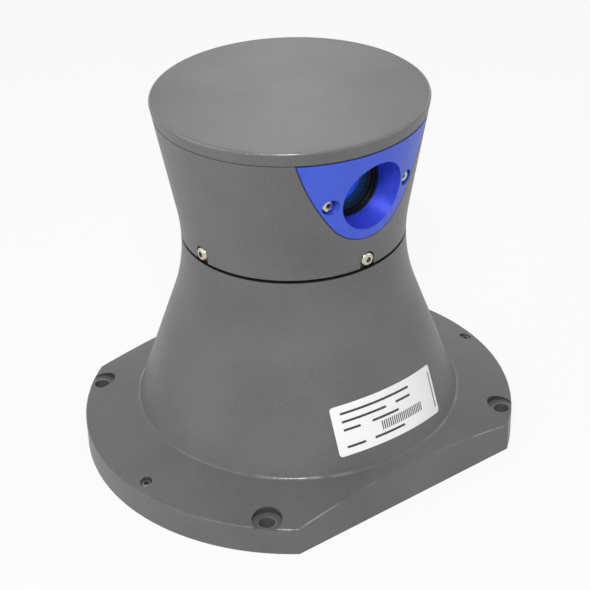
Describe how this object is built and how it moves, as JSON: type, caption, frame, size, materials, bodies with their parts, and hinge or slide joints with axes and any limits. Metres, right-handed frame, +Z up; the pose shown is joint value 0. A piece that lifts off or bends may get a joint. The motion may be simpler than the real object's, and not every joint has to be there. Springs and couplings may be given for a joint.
{
  "type": "laser navigation scanner",
  "caption": "Rotating laser scanner head on a flared cast base with a bolt-down flange, for guiding vehicles by reflectors.",
  "frame": {"origin": "centre of the flange's underside, on the spin axis, where the scanner stands", "axes": "+Z up along the spin axis; the two flats of the flange face -Y and +Y; the head looks along -Y, turned 2 degrees towards +X, at rest"},
  "size_m": [0.25, 0.2, 0.212],
  "materials": {
    "powder_coat": "grey powder coat on cast aluminium, fine texture, satin",
    "blue_anodised": "blue anodised aluminium, fine turned satin",
    "black_anodised": "black anodised aluminium, matt",
    "bare_aluminium": "turned and milled aluminium",
    "stainless": "stainless fasteners",
    "bearing_steel": "ground steel",
    "core_steel": "laminated and turned steel",
    "magnet_nickel": "nickel plated magnets",
    "copper_wire": "enamelled copper winding",
    "nickel_brass": "nickel plated brass",
    "contact_gold": "gold plated contacts",
    "black_rubber": "black rubber",
    "circuit_board": "green solder mask on glass-fibre board",
    "black_plastic": "black moulded plastic",
    "coated_glass": "lens with a blue anti-reflection coat",
    "clear_glass": "polished optical glass",
    "front_mirror": "front-surface mirror"
  },
  "bodies": {
    "base": {"base_housing": "powder_coat", "levelling_screws": "stainless", "bottom_cover": "powder_coat", "cover_gasket": "black_rubber", "cover_screws": "stainless", "power_connector": "nickel_brass", "data_connector": "nickel_brass", "connector_inserts": "black_plastic", "connector_pins": "contact_gold", "connector_nuts": "nickel_brass", "main_board": "circuit_board", "board_components": "black_plastic", "board_standoffs": "nickel_brass", "board_screws": "stainless", "bearing_carrier": "bare_aluminium", "carrier_screws": "stainless", "upper_outer_ring": "bearing_steel", "lower_outer_ring": "bearing_steel", "preload_spring": "stainless", "motor_housing": "bare_aluminium", "motor_housing_screws": "stainless", "motor_stator": "core_steel", "motor_coils": "copper_wire", "encoder_reader": "black_plastic", "optics_bench": "bare_aluminium", "bench_screws": "stainless", "optics_mount": "black_anodised", "laser_module": "nickel_brass", "beam_splitter": "clear_glass", "receiver_board": "circuit_board", "photodetector": "nickel_brass"},
    "head": {"upper_inner_ring": "bearing_steel", "lower_inner_ring": "bearing_steel", "hollow_shaft": "core_steel", "bearing_nut": "core_steel", "rotor_hub": "bare_aluminium", "hub_screws": "stainless", "rotary_seal": "black_rubber", "magnet_sleeve": "core_steel", "rotor_magnets": "magnet_nickel", "encoder_disc": "stainless", "head_shell": "powder_coat", "neck_screws": "stainless", "head_cap": "powder_coat", "cap_gasket": "black_rubber", "cap_screws": "stainless", "optics_insert": "blue_anodised", "insert_gasket": "black_rubber", "insert_screws": "stainless", "lens": "coated_glass", "lens_seal": "black_rubber", "lens_ring": "black_anodised", "optics_bracket": "bare_aluminium", "bracket_screws": "stainless", "folding_mirror": "front_mirror", "balance_weight": "core_steel", "weight_screws": "stainless"},
    "upper_balls": {"upper_ball_set": "bearing_steel"},
    "lower_balls": {"lower_ball_set": "bearing_steel"}
  },
  "joints": [
    {"name": "head_spin", "type": "hinge", "parent": "base", "child": "head", "pos_m": [0, 0, 0.131], "axis": [0, 0, 1], "continuous": true},
    {"name": "upper_ball_spin", "type": "hinge", "parent": "base", "child": "upper_balls", "pos_m": [0, 0, 0.117], "axis": [0, 0, 1], "continuous": true},
    {"name": "lower_ball_spin", "type": "hinge", "parent": "base", "child": "lower_balls", "pos_m": [0, 0, 0.079], "axis": [0, 0, 1], "continuous": true}
  ],
  "couplings": [
    {"joint": "upper_ball_spin", "follows": "head_spin", "ratio": 0.4373},
    {"joint": "lower_ball_spin", "follows": "head_spin", "ratio": 0.4373}
  ]
}
